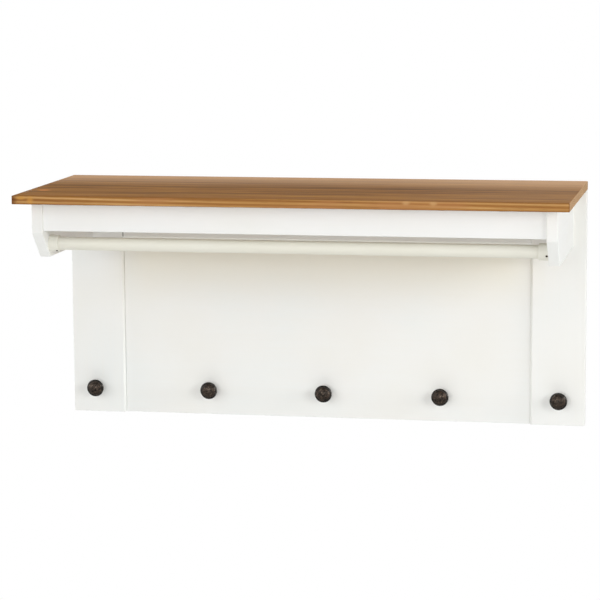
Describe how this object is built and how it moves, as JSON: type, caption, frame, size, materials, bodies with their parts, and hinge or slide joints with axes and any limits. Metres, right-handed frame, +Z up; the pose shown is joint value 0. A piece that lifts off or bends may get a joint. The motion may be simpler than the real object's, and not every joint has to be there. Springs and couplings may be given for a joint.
{
  "type": "shaker peg rail with shelf",
  "caption": "Wall-hung wooden shelf on a white painted frame-and-panel back with side brackets, a round hanging rod under the shelf and a row of mushroom peg knobs.",
  "frame": {"origin": "midway between the two wall screw holes, on the wall plane at the back of the part", "axes": "+X along the shelf to the right as seen from the room, +Y into the wall, +Z up"},
  "size_m": [0.915, 0.36, 0.424],
  "materials": {
    "shelf_wood": "honey-brown stain, satin",
    "white_paint": "white satin paint on wood",
    "dark_bronze": "oil-rubbed dark bronze",
    "zinc_steel": "zinc-plated",
    "dowel_wood": "bare beech"
  },
  "bodies": {
    "root": {"shelf_top": "shelf_wood", "left_bracket": "white_paint", "right_bracket": "white_paint", "apron": "white_paint", "left_stile": "white_paint", "right_stile": "white_paint", "top_rail": "white_paint", "back_panel": "white_paint", "front_cleat": "white_paint", "rear_cleat": "white_paint", "left_cleat": "white_paint", "right_cleat": "white_paint", "hanging_rod": "white_paint", "left_rod_collar": "white_paint", "right_rod_collar": "white_paint", "collar_screws": "dark_bronze", "knob_1": "dark_bronze", "knob_2": "dark_bronze", "knob_3": "dark_bronze", "knob_4": "dark_bronze", "knob_5": "dark_bronze", "knob_screws": "zinc_steel", "bracket_screws": "zinc_steel", "cleat_screws": "zinc_steel", "shelf_screws": "zinc_steel", "apron_dowels": "dowel_wood"}
  },
  "joints": []
}
